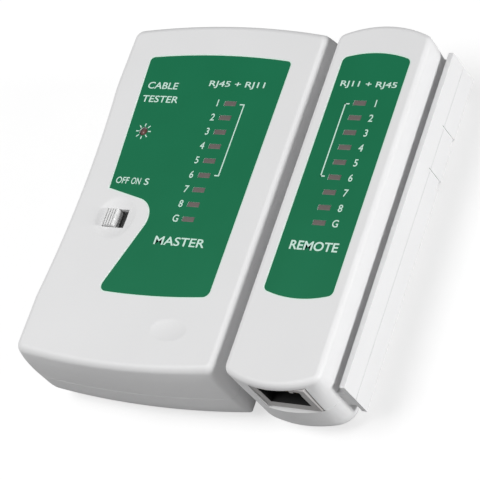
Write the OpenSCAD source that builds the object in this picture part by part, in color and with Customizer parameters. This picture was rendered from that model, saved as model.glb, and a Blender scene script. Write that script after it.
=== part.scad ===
// Network cable tester: a master unit and a remote unit lying side by side on their backs.
// X runs to the right across both front faces, Y towards the top ends, Z out of the front faces.
// The origin is at the middle of the footprint, on the surface that both backs rest on.

/* [Master case] */
// Width of the master unit
master_w = 61.5; // [58:0.5:80]
// Length of the master unit at its parting line
master_len = 104; // [100:1:140]
// Radius of the shallow arc of each master end
master_arc = 200; // [120:10:400]
// How far the master's ends bulge past the front face's edge
end_bulge = 1; // [0.5:0.1:2]
// How far each long side of the master bulges past the front face's edge
side_bulge = 0.6; // [0:0.1:1.2]

/* [Remote case] */
// Width of the remote unit without its rail
remote_w = 27.5; // [26:0.5:40]
// Length of the remote unit
remote_len = 105; // [100:1:140]
// Radius of the arc of each remote end
remote_arc = 30; // [22:1:60]

/* [Both cases] */
// Depth of both cases, from back to front face
case_h = 27; // [26:0.5:34]
// Height of the parting line above the back
parting_z = 13.5; // [13:0.5:15]
// Wall thickness of the shells
wall = 2; // [1.6:0.1:2.4]
// Rounding between the front face and the sides
front_r = 1.6; // [0.8:0.2:2]
// Rounding between the master's back and its sides
back_r = 3.6; // [2:0.2:4.4]
// Rounding between the remote's back and its sides
remote_back_r = 5; // [2:0.2:5.2]
// Rounding of the corners seen from the front
corner_r = 2.6; // [2:0.2:4]
// Space between the two units as they lie
unit_gap = 3; // [1:0.5:10]

/* [Rail and slot] */
// How far the remote's rail stands out of its side
rail_out = 3.4; // [3:0.1:4]
// Height of the rail's plate, along the case depth
rail_h = 13.5; // [10:0.5:16]
// Thickness of the rail's plate
rail_t = 1.5; // [1.2:0.1:1.8]
// Height of the web that carries the plate
rail_web = 6.6; // [3:0.2:8]
// Length of the rail
rail_len = 95; // [80:1:96]
// Depth of the two notches in the back edge of the rail's plate
notch_deep = 1.1; // [0.5:0.1:1.6]
// Clearance all round the rail inside the slot
rail_clear = 0.25; // [0.15:0.05:0.4]

/* [Indicator lamps] */
// Distance from one lamp to the next
led_pitch = 4.34; // [4:0.02:4.6]
// Length of a lamp's window
led_w = 3.6; // [3:0.1:4]
// Height of a lamp's window
led_h = 1.4; // [1.2:0.1:2]
// Diameter of the round power lamp
power_d = 2.4; // [2:0.2:3.4]

/* [Switch] */
// Length of the slot that the switch knob slides in
slot_w = 7; // [6.4:0.2:8]
// Height of the switch slot
slot_h = 5.4; // [4.6:0.2:6]
// Width of the switch knob
knob_w = 3.9; // [3:0.1:4.2]
// Gap between the knob and the slot
knob_clear = 0.2; // [0.1:0.05:0.3]

/* [Jacks] */
// Width of an eight-contact jack
rj45_w = 15.5; // [14.5:0.5:16]
// Width of a six-position jack
rj11_w = 13.2; // [12.6:0.2:14]
// Depth of both jacks, along the case
jack_len = 18; // [15:1:20]
// Height of both jacks above their board
jack_h = 11.4; // [11:0.1:11.4]
// How far a jack's face lies behind the apex of its end
jack_set = 1.4; // [0.8:0.2:2]

/* [Battery] */
// Length of the 9 V battery's can
batt_len = 46.4; // [44:0.2:47]
// Width of the battery
batt_w = 26.2; // [24:0.2:26.6]
// Thickness of the battery
batt_h = 17.2; // [15:0.2:17.6]

/* [Hidden] */

eps = 0.01;
far = 200;              // long enough to cut through anything
fit = 0.2;              // gap between pieces that are slid or laid together
hull_fn = 32;

// Where the two units stand
total_w = side_bulge + master_w + unit_gap + remote_w + rail_out;
master_x = side_bulge + master_w / 2 - total_w / 2;
remote_x = total_w / 2 - rail_out - remote_w / 2;
master_y = -0.5;        // the master lies this far below the remote's middle
remote_y = 0;

// Heights inside both cases
front_in = case_h - wall;          // inner face of the front wall
board_t = 1.6;
board_top = parting_z - 0.1;
board_z = board_top - board_t;
label_t = 0.25;
label_sink = 0.3;
label_top = case_h - label_sink + label_t;

// Slot for the rail, in the master's left side
lip_t = rail_out - rail_t - 2 * fit;
slot_depth = rail_out + rail_clear;
slot_half = rail_h / 2 + rail_clear;
slot_mouth = rail_web / 2 + rail_clear;
slot_back = 2.2;                    // wall behind the slot
master_left = -master_w / 2 - side_bulge;
rail_y = 0.5;                       // middle of the rail, from the remote's middle
slot_floor_y = rail_y - rail_len / 2 - 1;

// Master interior, which stops short of the slot on the left
in_left = master_left + slot_depth + slot_back;
in_right = master_w / 2 - wall;
front_len = master_len - 2 * end_bulge;
grip_depth = 1.7;                   // finger hollow in the master's left front edge
grip_half = 32;
grip_r = (grip_half * grip_half + grip_depth * grip_depth) / (2 * grip_depth);
grip_z = parting_z + slot_half + 1;

// Lamps, from the top one down
lamp_n = 9;
master_lamp_x = 8.2;
master_lamp_y = 26.8;
remote_lamp_x = -0.6;
remote_lamp_y = 28.1;
remote_row_y = remote_lamp_y - 1.2; // top one of the remote's diodes and resistors
lamp_body = 7.2;                    // height of a lamp's block
leg_t = 0.5;
leg_gap = 1.27;                     // from a lamp's middle to each leg
power_x = -15.9;
power_y = 17.2;

// Switch
switch_x = -14.6;
switch_y = -9;
knob_travel = slot_w - knob_w - 2 * knob_clear;
knob_x = switch_x - knob_travel / 2;
knob_h = slot_h - 2 * knob_clear;
knob_top = case_h + 0.5;
flange_t = 0.8;
flange_half = (slot_w + knob_travel) / 2 + 0.3;   // covers the slot wherever the knob stands
flange_z = front_in - fit - flange_t;
switch_len = 11;
switch_wide = 5;
switch_h = 4.2;
switch_top = board_top + switch_h;
lever_s = 2.2;                      // side of the switch's own lever
lever_top = switch_top + 3.4;
rib_n = 5;

// Jacks
cavity_w = 11.7;
cavity_h = 6.9;
cavity_z = board_top + 2.8;
cavity_len = 14;
key_w = 6.2;
key_h = 1.1;
rj11_cavity_w = 9.7;
contact_pitch = 1.02;
contact_w = 0.45;
contact_t = 0.3;
jack_clear = 0.35;
master_rj45_x = 10.5;
master_rj11_x = -9.5;
master_jack_y = master_len / 2 - jack_set;
remote_rj45_x = 1.6;
remote_rj11_x = 0;
remote_jack_y = remote_len / 2 - jack_set;

// Battery compartment across the bottom end of the master
batt_gap = 0.4;
end_drop = master_arc - wall - sqrt((master_arc - wall) * (master_arc - wall) - in_left * in_left);
bay_top = -front_len / 2 + wall + end_drop + batt_w + 2 * batt_gap + 0.15;
batt_y = bay_top - batt_gap - batt_w / 2;
batt_x0 = in_left + batt_gap;
batt_x1 = batt_x0 + batt_len;
door_t = wall;
door_clear = 0.15;
ledge_t = 1;                        // ledges that hold the door's edges down
batt_z = door_t + door_clear + ledge_t + fit;
bay_wall = 1.5;
stud_h = 1.9;
stud_gap = 12.7;
snap_t = 3.4;
snap_x = batt_x1 + 0.1;
snap_w = 24;
snap_h = 11;
lead_r = 0.7;
door_x0 = in_left + 2.5;
door_x1 = in_right - 2.5;
tongue = 1.2;                       // each side edge of the door runs under the shell by this
tab_w = 12;
tab_len = 2.2;
tab_t = 1;

// Screws and their posts
post_r = 2.6;
screw_r = 1.15;
pilot_r = 1.2;
head_r = 2.3;
head_t = 1.5;
head_z = 4;
sink_r = 2.7;
thread_up = 6;                      // how far a case screw reaches past the parting line
board_post_r = 2;
board_screw_r = 0.9;
board_head_r = 1.7;
board_head_t = 1;
notch_r = post_r + 0.4;
master_posts = [
    [in_left + post_r - 0.2, 41], [in_right - post_r + 0.2, 28],
    [in_left + post_r - 0.2, bay_top + 4], [in_right - post_r + 0.2, bay_top + 4]
];
remote_post_x = remote_w / 2 - wall - post_r + 0.2;
remote_posts = [[remote_post_x, 21], [-remote_post_x, -22]];
master_board_posts = [[-17, 27.6], [16.2, bay_top + 5.4]];
remote_board_posts = [[-5.6, 30.6], [4.4, -15]];

// Two notches in the rail's plate, each with a fine groove running up from its top side
rail_notches = [16.2, 28.6];
notch_w = 2.2;
mark_w = 0.5;
mark_deep = 0.25;
mark_top = parting_z + 1;

// Boards
master_board_x0 = in_left + 2 * post_r + 0.1;
master_board_x1 = in_right - 2 * post_r - 0.1;
master_board_y0 = bay_top + bay_wall + 0.3;
master_board_y1 = master_jack_y - 2;
remote_board_w = 18;
remote_board_len = 2 * (remote_jack_y - 2);

// Outlines of the labels, each seen from the front
master_label_w = 45.4;
master_label_top = 41.7;
master_label_bottom = -30.8;
remote_label_w = 20.5;
remote_label_top = 43.4;
remote_label_bottom = -28.1;
label_r = 1.6;

// ---------- shared shapes ----------

module at_master() {
    translate([master_x, master_y, 0]) children();
}

module at_remote() {
    translate([remote_x, remote_y, 0]) children();
}

// Everything that lies behind an arc across one end; side is 1 for the top end, -1 for the other
module arc_side(side, len, arc, fn) {
    centre_y = side * (len / 2 - arc);
    translate([0, centre_y]) circle(r = arc, $fn = fn);
    translate([-far, side > 0 ? centre_y - 2 * far : centre_y]) square([2 * far, 2 * far]);
}

// Straight sides with an arc across each end
module arc_plan(w, len, arc, fn) {
    intersection() {
        square([w, len], center = true);
        arc_side(1, len, arc, fn);
        arc_side(-1, len, arc, fn);
    }
}

// The same outline drawn in by inset, with rounded corners
module soft_plan(w, len, arc, fn, inset) {
    r = max(corner_r - inset, 0.4);
    offset(r = r, $fn = hull_fn) offset(delta = -inset - r) arc_plan(w, len, arc, fn);
}

module slice(z) {
    translate([0, 0, z]) linear_extrude(height = eps) children();
}

// Outer form above the parting line, rounded into the front face
module front_form(w, len, arc, fn, bulge, side) {
    hull() {
        slice(parting_z) soft_plan(w + 2 * side, len, arc, fn, 0);
        slice(parting_z + 0.6 * (case_h - parting_z))
            soft_plan(w + 1.4 * side, len - 0.6 * bulge, arc, fn, 0);
        for (a = [0 : 22.5 : 90])
            slice(case_h - front_r + front_r * sin(a) - eps)
                soft_plan(w, len - 2 * bulge, arc, fn, front_r * (1 - cos(a)));
    }
}

// Outer form below the parting line, rounded into the back
module back_form(w, len, arc, fn, bulge, side, r) {
    hull() {
        slice(parting_z - eps) soft_plan(w + 2 * side, len, arc, fn, 0);
        for (a = [0 : 22.5 : 90])
            slice(r * (1 - sin(a)))
                soft_plan(w + 2 * side, len - bulge, arc, fn, r * (1 - cos(a)));
    }
}

module box(x0, x1, y0, y1, z0, z1) {
    translate([x0, y0, z0]) cube([x1 - x0, y1 - y0, z1 - z0]);
}

module rod(p, q, r) {
    d = q - p;
    long = norm(d);
    turn = atan2(d[1], d[0]);
    tilt = acos(d[2] / long);
    translate(p) rotate([0, tilt, turn]) cylinder(r = r, h = long, $fn = 40);
}

// A round wire laid along a few straight runs
module wire(points, r) {
    for (i = [0 : len(points) - 2]) rod(points[i], points[i + 1], r);
    for (i = [1 : len(points) - 2]) translate(points[i]) sphere(r = r + 0.03, $fn = 40);
}

module at_each(places) {
    for (p = places) translate([p[0], p[1], 0]) children();
}

// Windows through a front wall, one for each lamp
module lamp_windows(x, y, grow) {
    for (i = [0 : lamp_n - 1])
        translate([x - led_w / 2 - grow, y - i * led_pitch - led_h / 2 - grow, front_in - 1])
            cube([led_w + 2 * grow, led_h + 2 * grow, wall + 2]);
}

// A case screw lies head down in its recess
module case_screw() {
    translate([0, 0, head_z]) difference() {
        union() {
            cylinder(r = head_r, h = head_t, $fn = 32);
            cylinder(r = screw_r, h = parting_z - head_z + thread_up, $fn = 32);
        }
        for (a = [0, 90]) rotate([0, 0, a]) translate([-1.5, -0.3, -eps]) cube([3, 0.6, 0.8]);
    }
}

module board_screw() {
    translate([0, 0, board_z - board_head_t]) difference() {
        union() {
            cylinder(r = board_head_r, h = board_head_t, $fn = 32);
            cylinder(r = board_screw_r, h = board_head_t + board_t + 5, $fn = 32);
        }
        for (a = [0, 90]) rotate([0, 0, a]) translate([-1.1, -0.2, -eps]) cube([2.2, 0.4, 0.6]);
    }
}

// Posts that hang from a front wall: one set takes case screws, the other holds the board
module front_posts(case_posts, board_posts) {
    at_each(case_posts) translate([0, 0, parting_z])
        cylinder(r = post_r, h = front_in - parting_z + eps, $fn = 40);
    at_each(board_posts) translate([0, 0, board_top])
        cylinder(r = board_post_r, h = front_in - board_top + eps, $fn = 32);
}

module front_pilots(case_posts, board_posts) {
    at_each(case_posts) translate([0, 0, parting_z - 1])
        cylinder(r = pilot_r, h = thread_up + 2, $fn = 32);
    at_each(board_posts) translate([0, 0, board_top - 1])
        cylinder(r = board_screw_r + 0.05, h = 7, $fn = 32);
}

module back_posts(places) {
    at_each(places) {
        translate([0, 0, 1]) cylinder(r = sink_r + 1, h = head_z + head_t + 0.2, $fn = 40);
        translate([0, 0, 1]) cylinder(r = post_r, h = parting_z - 1, $fn = 40);
    }
}

module back_bores(places) {
    at_each(places) {
        translate([0, 0, -1]) cylinder(r = sink_r, h = head_z + 1 + head_t + 0.1, $fn = 40);
        translate([0, 0, -1]) cylinder(r = screw_r + 0.25, h = parting_z + 2, $fn = 32);
    }
}

// Hole in an end wall, seen from a jack whose face looks along +Y
module jack_mouth(x, y, w) {
    box(x - w / 2 - jack_clear, x + w / 2 + jack_clear, y - jack_len, y + far,
        board_top - fit, board_top + jack_h + 0.2);
}

// A jack with its face at y = 0, looking along +Y, standing on z = 0
module jack(w, cavity) {
    floor_z = cavity_z - board_top;
    difference() {
        box(-w / 2, w / 2, -jack_len, 0, 0, jack_h);
        box(-cavity / 2, cavity / 2, -cavity_len, 1, floor_z, floor_z + cavity_h);
        box(-key_w / 2, key_w / 2, -cavity_len, 1, floor_z + 1, floor_z + cavity_h + key_h);
        for (s = [-1, 1])
            translate([s * (w / 2 - 2.6), 0, jack_h - 2.6]) box(-0.9, 0.9, -5, 1, 0, 1.6);
        box(-cavity / 2 + 0.6, cavity / 2 - 0.6, -cavity_len, -cavity_len + 2, -1, floor_z + 1);
    }
}

// Spring contacts: a tail to the board, a run along the floor and a sprung tip
module contacts(n) {
    floor_z = cavity_z - board_top;
    for (i = [0 : n - 1])
        translate([(i - (n - 1) / 2) * contact_pitch - contact_w / 2, 0, 0])
            rotate([90, 0, 90]) linear_extrude(height = contact_w)
                polygon([
                    [-cavity_len + 1, 0], [-cavity_len + 1 + contact_t, 0],
                    [-cavity_len + 1 + contact_t, floor_z + 0.05], [-3, floor_z + 0.05],
                    [-9.4, floor_z + 2.1], [-9.6, floor_z + 1.8], [-4.8, floor_z + 0.05 + contact_t],
                    [-cavity_len + 1, floor_z + 0.05 + contact_t]
                ]);
}

// One rectangular lamp: block, flange and two legs that reach the board
module lamp() {
    block_z = label_top - lamp_body;
    translate([-led_w / 2, -led_h / 2, block_z]) cube([led_w, led_h, lamp_body]);
    translate([-led_w / 2 - 0.5, -led_h / 2 - 0.5, block_z]) cube([led_w + 1, led_h + 1, 1]);
    for (s = [-1, 1]) translate([s * leg_gap - leg_t / 2, -leg_t / 2, board_top])
        cube([leg_t, leg_t, block_z - board_top + eps]);
}

module lamp_row(x, y) {
    for (i = [0 : lamp_n - 1]) translate([x, y - i * led_pitch, 0]) lamp();
}

// A part with two wire ends lying along X, a little above the board
module axial(body_len, body_r) {
    lift = body_r + 0.1;
    translate([-body_len / 2, 0, board_top + lift]) rotate([0, 90, 0])
        cylinder(r = body_r, h = body_len, $fn = 28);
    reach = body_len / 2 + 0.8;
    translate([-reach, 0, board_top + lift]) rotate([0, 90, 0])
        cylinder(r = 0.25, h = 2 * reach, $fn = 16);
    for (s = [-1, 1]) translate([s * reach, 0, board_top])
        cylinder(r = 0.25, h = lift + 0.25, $fn = 16);
}

// A dual in-line chip with its legs, lying along Y
module chip(pins) {
    step = 2.54;
    chip_len = pins / 2 * step - 0.6;
    difference() {
        box(-3.2, 3.2, -chip_len / 2, chip_len / 2, board_top + 0.6, board_top + 3.9);
        translate([0, chip_len / 2, board_top + 3.4]) cylinder(r = 0.8, h = 1, $fn = 24);
    }
    for (i = [0 : pins / 2 - 1]) for (s = [-1, 1])
        translate([s * 3.55, (i - (pins / 2 - 1) / 2) * step, 0]) {
            box(-0.35, 0.35, -0.5, 0.5, board_top + 1.8, board_top + 2.4);
            box(-0.15, 0.15, -0.3, 0.3, board_top, board_top + 2.4);
        }
}

// ---------- master unit ----------

module master_inside(gap) {
    arc_plan(master_w - 2 * wall - 2 * gap, front_len - 2 * wall - 2 * gap, master_arc - wall - gap, 256);
}

module master_hollow(z0, z1) {
    intersection() {
        translate([0, 0, z0]) linear_extrude(height = z1 - z0) master_inside(0);
        box(in_left, in_right, -far, far, z0 - 1, z1 + 1);
    }
}

module rail_slot() {
    box(master_left - 5, master_left + lip_t + 1, slot_floor_y, far,
        parting_z - slot_mouth, parting_z + slot_mouth);
    box(master_left + lip_t, master_left + slot_depth, slot_floor_y, far,
        parting_z - slot_half, parting_z + slot_half);
}

module switch_slot() {
    box(switch_x - slot_w / 2, switch_x + slot_w / 2, switch_y - slot_h / 2,
        switch_y + slot_h / 2, front_in - 1, case_h + 1);
}

// The label's left side steps in round the switch: a lobe of this radius, then a slanted edge
module master_label_outline(grow) {
    mid = (master_label_top + master_label_bottom) / 2;
    tall = master_label_top - master_label_bottom;
    offset(r = label_r + grow, $fn = 24) offset(delta = -label_r) difference() {
        translate([0, mid]) arc_plan(master_label_w, tall, master_arc, 256);
        polygon([
            [-40, 60], [-23.2, 60], [-20.2, -0.6], [-9, -3.2], [-4.8, -10.7], [-10.6, -26.5],
            [-10.6, -50], [-40, -50]
        ]);
        translate([-10.2, -8.7]) circle(r = 5.7, $fn = 48);
    }
}

module master_front_shell() {
    color("gainsboro") at_master() difference() {
        union() {
            difference() {
                front_form(master_w, master_len, master_arc, 256, end_bulge, side_bulge);
                master_hollow(parting_z - 1, front_in);
            }
            front_posts(master_posts, master_board_posts);
            // two ribs that keep the battery down
            for (s = [0.25, 0.75])
                box(batt_x0 + s * batt_len - 0.6, batt_x0 + s * batt_len + 0.6,
                    batt_y - 9, batt_y + 9, batt_z + batt_h + fit, front_in + eps);
        }
        front_pilots(master_posts, master_board_posts);
        rail_slot();
        translate([-master_w / 2 + grip_depth - grip_r, -1, grip_z])
            cylinder(r = grip_r, h = case_h, $fn = 360);
        jack_mouth(master_rj45_x, master_jack_y, rj45_w);
        jack_mouth(master_rj11_x, master_jack_y, rj11_w);
        lamp_windows(master_lamp_x, master_lamp_y, 0.1);
        translate([power_x, power_y, front_in - 1]) cylinder(d = power_d + 0.2, h = wall + 2, $fn = 32);
        switch_slot();
        translate([0, 0, case_h - label_sink]) linear_extrude(height = 1) master_label_outline(0.15);
    }
}

module door_shape(grow) {
    box(door_x0 - grow, door_x1 + grow, -far, bay_top + grow, -1, door_t / 2 + grow);
    box(door_x0 - tongue - grow, door_x1 + tongue + grow, -far, bay_top + grow,
        door_t / 2, door_t + grow);
}

module master_back_shell() {
    color("lightgray") at_master() difference() {
        union() {
            difference() {
                back_form(master_w, master_len, master_arc, 256, end_bulge, side_bulge, back_r);
                master_hollow(wall, parting_z + 1);
            }
            intersection() {
                union() {
                    back_posts(master_posts);
                    box(in_left - 1, in_right + 1, bay_top, bay_top + bay_wall, 1, board_z - 2);
                    for (x = [[in_left - 1, door_x0 - fit], [door_x1 + fit, in_right + 1]])
                        box(x[0], x[1], -45, bay_top + 1, door_t - 0.5, door_t + door_clear + ledge_t);
                }
                back_form(master_w, master_len, master_arc, 256, end_bulge, side_bulge, back_r);
            }
        }
        rail_slot();
        door_shape(door_clear);
        // window that the door's tab hooks into, and the way out for it through the end wall
        box(-tab_w / 2 - 0.3, tab_w / 2 + 0.3, -far, bay_top + bay_wall + tab_len,
            door_t, door_t + tab_t + 0.4);
        back_bores(master_posts);
        jack_mouth(master_rj45_x, master_jack_y, rj45_w);
        jack_mouth(master_rj11_x, master_jack_y, rj11_w);
    }
}

module battery_door() {
    color("lightgray") at_master() {
        difference() {
            intersection() {
                door_shape(0);
                back_form(master_w, master_len, master_arc, 256, end_bulge, side_bulge, back_r);
                box(-far, far, -far, far, -1, door_t);
            }
            for (i = [0 : 5]) box(-9, 9, -39 + i * 2, -38.2 + i * 2, -1, 0.45);
        }
        box(-tab_w / 2, tab_w / 2, bay_top - 3, bay_top - fit, door_t - eps, door_t + tab_t);
        box(-tab_w / 2, tab_w / 2, bay_top - 3, bay_top + tab_len, door_t + fit, door_t + tab_t);
    }
}

module master_label() {
    color("seagreen") at_master() difference() {
        translate([0, 0, case_h - label_sink]) linear_extrude(height = label_t)
            master_label_outline(0);
        lamp_windows(master_lamp_x, master_lamp_y, 0.05);
        translate([power_x, power_y, front_in]) cylinder(d = power_d + 0.1, h = wall + 2, $fn = 32);
    }
}

module switch_knob() {
    color("whitesmoke") at_master() translate([knob_x, switch_y, 0]) difference() {
        union() {
            box(-knob_w / 2, knob_w / 2, -knob_h / 2, knob_h / 2, flange_z, knob_top);
            box(-flange_half, flange_half, -knob_h / 2 - 0.6, knob_h / 2 + 0.6,
                flange_z, flange_z + flange_t);
            box(-1.8, 1.8, -1.8, 1.8, lever_top - 2, flange_z + eps);
        }
        for (i = [0 : rib_n - 2])
            translate([(i - (rib_n - 2) / 2) * knob_w / rib_n, 0, knob_top - 0.4])
                box(-0.18, 0.18, -5, 5, 0, 1);
        box(-lever_s / 2 - 0.05, lever_s / 2 + 0.05, -lever_s / 2 - 0.05, lever_s / 2 + 0.05,
            lever_top - 3, lever_top + 0.1);
    }
}

module switch_actuator() {
    color("black") at_master() translate([knob_x, switch_y, 0])
        box(-lever_s / 2, lever_s / 2, -lever_s / 2, lever_s / 2, board_top + 2.4, lever_top);
}

module switch_body() {
    color("silver") at_master() translate([switch_x, switch_y, 0]) difference() {
        box(-switch_len / 2, switch_len / 2, -switch_wide / 2, switch_wide / 2,
            board_top, switch_top);
        box(-knob_travel / 2 - lever_s / 2 - 0.2, knob_travel / 2 + lever_s / 2 + 0.2,
            -lever_s / 2 - 0.2, lever_s / 2 + 0.2, board_top + 2.2, switch_top + 1);
    }
}

module master_board() {
    color("darkgreen") at_master() difference() {
        intersection() {
            box(master_board_x0, master_board_x1, master_board_y0, master_board_y1, board_z, board_top);
            translate([0, 0, board_z - 1]) linear_extrude(height = board_t + 2) master_inside(fit);
        }
        at_each(master_posts) translate([0, 0, board_z - 1])
            cylinder(r = notch_r, h = board_t + 2, $fn = 40);
        at_each(master_board_posts) translate([0, 0, board_z - 1])
            cylinder(r = board_screw_r + 0.2, h = board_t + 2, $fn = 32);
    }
}

module master_lamps() {
    color("rosybrown") at_master() lamp_row(master_lamp_x, master_lamp_y);
}

module power_lamp() {
    color("rosybrown") at_master() translate([power_x, power_y, 0]) {
        base_z = label_top - 5;
        translate([0, 0, base_z]) cylinder(d = power_d, h = 5 - power_d / 2, $fn = 40);
        translate([0, 0, label_top - power_d / 2]) sphere(d = power_d, $fn = 40);
        translate([0, 0, base_z]) cylinder(d = power_d + 0.8, h = 1, $fn = 40);
        for (s = [-1, 1]) translate([s * 0.9 - leg_t / 2, -leg_t / 2, board_top])
            cube([leg_t, leg_t, base_z - board_top + eps]);
    }
}

module master_rj45_jack() {
    color("dimgray") at_master() translate([master_rj45_x, master_jack_y, board_top])
        jack(rj45_w, cavity_w);
}

module master_rj45_contacts() {
    color("gold") at_master() translate([master_rj45_x, master_jack_y, board_top]) contacts(8);
}

module master_rj11_jack() {
    color("dimgray") at_master() translate([master_rj11_x, master_jack_y, board_top])
        jack(rj11_w, rj11_cavity_w);
}

module master_rj11_contacts() {
    color("gold") at_master() translate([master_rj11_x, master_jack_y, board_top]) contacts(6);
}

module battery() {
    color("steelblue") at_master()
        box(batt_x0, batt_x1, batt_y - batt_w / 2, batt_y + batt_w / 2, batt_z, batt_z + batt_h);
}

module battery_terminals() {
    color("silver") at_master() for (s = [-1, 1])
        translate([batt_x1, batt_y + s * stud_gap / 2, batt_z + batt_h / 2]) rotate([0, 90, 0])
            cylinder(d = s < 0 ? 5.8 : 7.6, h = stud_h, $fn = s < 0 ? 32 : 6);
}

module battery_snap() {
    color("black") at_master() difference() {
        box(snap_x, snap_x + snap_t, batt_y - snap_w / 2, batt_y + snap_w / 2,
            batt_z + batt_h / 2 - snap_h / 2, batt_z + batt_h / 2 + snap_h / 2);
        for (s = [-1, 1]) translate([snap_x - 1, batt_y + s * stud_gap / 2, batt_z + batt_h / 2])
            rotate([0, 90, 0]) cylinder(d = 8, h = stud_h + 1.2, $fn = 32);
    }
}

// Both leads leave the snap's front edge, pass over the bay's wall and drop to the board
module battery_lead(side) {
    lead_x = snap_x + snap_t / 2 + side * 0.8;
    snap_top = batt_z + batt_h / 2 + snap_h / 2;
    lead_z = snap_top + 1.6;
    start = [lead_x, batt_y + snap_w / 2 - 3, snap_top];
    up = [start[0], start[1], lead_z];
    past = [lead_x, bay_top - 0.2, lead_z];
    over = [lead_x - 1.45, bay_top + bay_wall + 1.6, lead_z];
    pad = [over[0], over[1], board_top];
    at_master() wire([start, up, past, over, pad], lead_r);
}

module battery_lead_red() {
    color("red") battery_lead(1);
}

module battery_lead_black() {
    color("black") battery_lead(-1);
}

module counter_chip() {
    color("black") at_master() translate([-3.4, 12, 0]) chip(16);
}

module timer_chip() {
    color("black") at_master() translate([-3.4, -9, 0]) chip(8);
}

module master_resistors() {
    color("tan") at_master() for (i = [0 : lamp_n - 1])
        translate([15.6, master_lamp_y - i * led_pitch, 0]) axial(4, 0.9);
}

module master_capacitors() {
    color("midnightblue") at_master() for (p = [[-14.5, 8.4], [-14.5, 1.2]])
        translate([p[0], p[1], board_top]) cylinder(d = 5, h = 8, $fn = 40);
}

module master_case_screws() {
    color("silver") at_master() at_each(master_posts) case_screw();
}

module master_board_screws() {
    color("silver") at_master() at_each(master_board_posts) board_screw();
}

// ---------- remote unit ----------

module remote_inside(gap) {
    arc_plan(remote_w - 2 * wall - 2 * gap, remote_len - 2 * wall - 1 - 2 * gap, remote_arc - wall - gap, 72);
}

module remote_hollow(z0, z1) {
    translate([0, 0, z0]) linear_extrude(height = z1 - z0) remote_inside(0);
}

// One half of the rail: a web on the parting line and a plate parallel to the side wall
module half_rail(side) {
    x0 = remote_w / 2;
    z_web = parting_z + side * rail_web / 2;
    z_tip = parting_z + side * rail_h / 2;
    y0 = rail_y - rail_len / 2;
    y1 = rail_y + rail_len / 2;
    box(x0 - 1, x0 + rail_out, y0, y1, min(parting_z, z_web), max(parting_z, z_web));
    box(x0 + rail_out - rail_t, x0 + rail_out, y0, y1, min(parting_z, z_tip), max(parting_z, z_tip));
}

module rail_marks() {
    x1 = remote_w / 2 + rail_out;
    low = parting_z - rail_h / 2;
    for (y = rail_notches) {
        box(x1 - rail_t - 0.1, x1 + 1, y - notch_w / 2, y + notch_w / 2, low - 1, low + notch_deep);
        box(x1 - mark_deep, x1 + 1, y + notch_w / 2 - mark_w / 2, y + notch_w / 2 + mark_w / 2,
            low - 1, mark_top);
    }
}

module remote_label_outline(grow) {
    mid = (remote_label_top + remote_label_bottom) / 2;
    tall = remote_label_top - remote_label_bottom;
    offset(r = label_r + grow, $fn = 24) offset(delta = -label_r)
        translate([0, mid]) arc_plan(remote_label_w, tall, remote_arc, 72);
}

module remote_front_shell() {
    color("gainsboro") at_remote() difference() {
        union() {
            difference() {
                front_form(remote_w, remote_len, remote_arc, 72, 0.4, 0);
                remote_hollow(parting_z - 1, front_in);
            }
            half_rail(1);
            front_posts(remote_posts, remote_board_posts);
        }
        front_pilots(remote_posts, remote_board_posts);
        rail_marks();
        rotate([0, 0, 180]) jack_mouth(-remote_rj45_x, remote_jack_y, rj45_w);
        jack_mouth(remote_rj11_x, remote_jack_y, rj11_w);
        lamp_windows(remote_lamp_x, remote_lamp_y, 0.1);
        translate([0, 0, case_h - label_sink]) linear_extrude(height = 1) remote_label_outline(0.15);
    }
}

module remote_back_shell() {
    color("lightgray") at_remote() difference() {
        union() {
            difference() {
                back_form(remote_w, remote_len, remote_arc, 72, 0.4, 0, remote_back_r);
                remote_hollow(wall, parting_z + 1);
            }
            half_rail(-1);
            intersection() {
                back_posts(remote_posts);
                back_form(remote_w, remote_len, remote_arc, 72, 0.4, 0, remote_back_r);
            }
        }
        back_bores(remote_posts);
        rail_marks();
        rotate([0, 0, 180]) jack_mouth(-remote_rj45_x, remote_jack_y, rj45_w);
        jack_mouth(remote_rj11_x, remote_jack_y, rj11_w);
    }
}

module remote_label() {
    color("seagreen") at_remote() difference() {
        translate([0, 0, case_h - label_sink]) linear_extrude(height = label_t)
            remote_label_outline(0);
        lamp_windows(remote_lamp_x, remote_lamp_y, 0.05);
    }
}

module remote_board() {
    color("darkgreen") at_remote() difference() {
        intersection() {
            translate([0, 0, board_z + board_t / 2])
                cube([remote_board_w, remote_board_len, board_t], center = true);
            translate([0, 0, board_z - 1]) linear_extrude(height = board_t + 2) remote_inside(fit);
        }
        at_each(remote_posts) translate([0, 0, board_z - 1])
            cylinder(r = notch_r, h = board_t + 2, $fn = 40);
        at_each(remote_board_posts) translate([0, 0, board_z - 1])
            cylinder(r = board_screw_r + 0.2, h = board_t + 2, $fn = 32);
    }
}

module remote_lamps() {
    color("rosybrown") at_remote() lamp_row(remote_lamp_x, remote_lamp_y);
}

module remote_rj45_jack() {
    color("dimgray") at_remote() translate([remote_rj45_x, -remote_jack_y, board_top])
        rotate([0, 0, 180]) jack(rj45_w, cavity_w);
}

module remote_rj45_contacts() {
    color("gold") at_remote() translate([remote_rj45_x, -remote_jack_y, board_top])
        rotate([0, 0, 180]) contacts(8);
}

module remote_rj11_jack() {
    color("dimgray") at_remote() translate([remote_rj11_x, remote_jack_y, board_top])
        jack(rj11_w, rj11_cavity_w);
}

module remote_rj11_contacts() {
    color("gold") at_remote() translate([remote_rj11_x, remote_jack_y, board_top]) contacts(6);
}

module remote_diodes() {
    color("black") at_remote() for (i = [0 : lamp_n - 1])
        translate([3.6, remote_row_y - i * led_pitch, 0]) axial(3, 0.9);
}

module remote_resistors() {
    color("tan") at_remote() for (i = [0 : lamp_n - 1])
        translate([-5.4, remote_row_y - i * led_pitch, 0]) axial(3.2, 0.8);
}

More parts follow.
